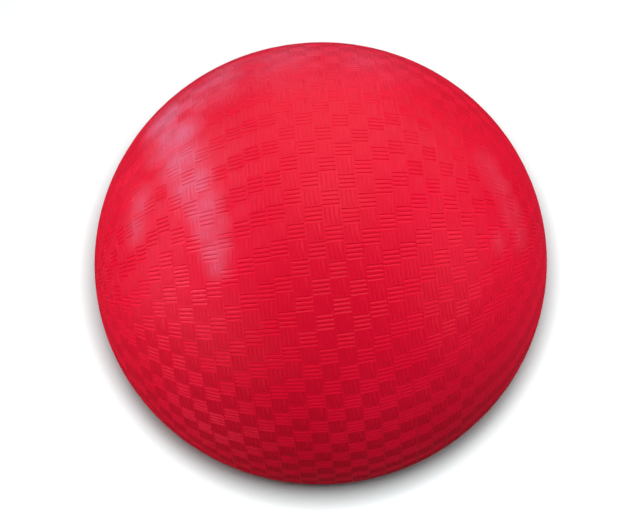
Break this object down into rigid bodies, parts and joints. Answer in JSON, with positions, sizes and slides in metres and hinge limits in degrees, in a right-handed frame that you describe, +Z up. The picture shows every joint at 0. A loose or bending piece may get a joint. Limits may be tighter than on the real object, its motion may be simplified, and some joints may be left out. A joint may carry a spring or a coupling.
{
  "type": "dodgeball",
  "caption": "Hollow red rubber playground ball with a moulded basket-weave grip, a wound thread layer, an inner bladder and a needle valve at one pole.",
  "frame": {"origin": "centre of the ball", "axes": "+X from the centre out through the valve, along the line from pole to pole of the weave, to the right in the picture; +Z up off the floor, towards the side that the picture shows; -Y out of the side at the picture's lower edge"},
  "size_m": [0.2193, 0.2144, 0.2144],
  "materials": {
    "cover_rubber": "moulded red playground rubber, semi-matt, with a basket-weave relief and light scuffs",
    "winding_thread": "off-white nylon thread wound in every direction and cemented",
    "bladder_rubber": "smooth matt black butyl rubber",
    "patch_rubber": "matt dark grey rubber with a buffed face",
    "housing_rubber": "moulded black rubber, satin",
    "core_rubber": "soft dark rubber, slightly oiled"
  },
  "bodies": {
    "root": {"cover": "cover_rubber", "winding": "winding_thread", "bladder": "bladder_rubber", "valve_patch": "patch_rubber", "valve_housing": "housing_rubber", "valve_core": "core_rubber"}
  },
  "joints": []
}
